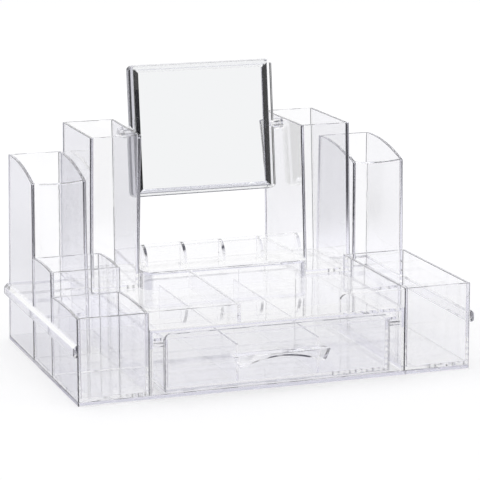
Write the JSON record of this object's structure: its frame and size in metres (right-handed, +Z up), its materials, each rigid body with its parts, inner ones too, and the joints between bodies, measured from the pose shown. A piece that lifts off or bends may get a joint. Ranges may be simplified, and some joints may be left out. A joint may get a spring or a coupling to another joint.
{
  "type": "makeup organizer with mirror",
  "caption": "Clear plastic vanity organizer with open towers, side boxes, deck trays, a lipstick rack, a pull-out drawer and a tilting mirror between the inner towers.",
  "frame": {"origin": "on the table, under the middle of the organizer's outline", "axes": "+X to the right of someone facing the drawer, +Y to the back, +Z up"},
  "size_m": [0.3064, 0.2124, 0.2127],
  "materials": {
    "clear_plastic": "water-clear injection-moulded polystyrene, polished",
    "silvered_glass": "silvered mirror glass",
    "grey_plastic": "pale grey moulded plastic sheet"
  },
  "bodies": {
    "case": {"base_plate": "clear_plastic", "left_front_box": "clear_plastic", "left_middle_box": "clear_plastic", "right_side_box": "clear_plastic", "left_outer_tower": "clear_plastic", "right_outer_tower": "clear_plastic", "left_inner_tower": "clear_plastic", "right_inner_tower": "clear_plastic", "drawer_housing": "clear_plastic", "left_tray_fence": "clear_plastic", "right_tray_fence": "clear_plastic", "rear_shelf": "clear_plastic", "lipstick_rack": "clear_plastic", "belt_rail": "clear_plastic", "left_runner": "clear_plastic", "right_runner": "clear_plastic"},
    "drawer": {"drawer_box": "clear_plastic", "drawer_front": "clear_plastic", "drawer_pull": "clear_plastic", "left_drawer_divider": "clear_plastic", "right_drawer_divider": "clear_plastic"},
    "mirror": {"mirror_frame": "clear_plastic", "mirror_plate": "silvered_glass", "mirror_back_cover": "grey_plastic", "left_pivot_pin": "clear_plastic", "right_pivot_pin": "clear_plastic"}
  },
  "joints": [
    {"name": "drawer_slide", "type": "slide", "parent": "case", "child": "drawer", "axis": [0, -1, 0], "range_m": [0, 0.15]},
    {"name": "mirror_tilt", "type": "hinge", "parent": "case", "child": "mirror", "pos_m": [0, 0.07435, 0.1622], "axis": [1, 0, 0], "continuous": true}
  ]
}
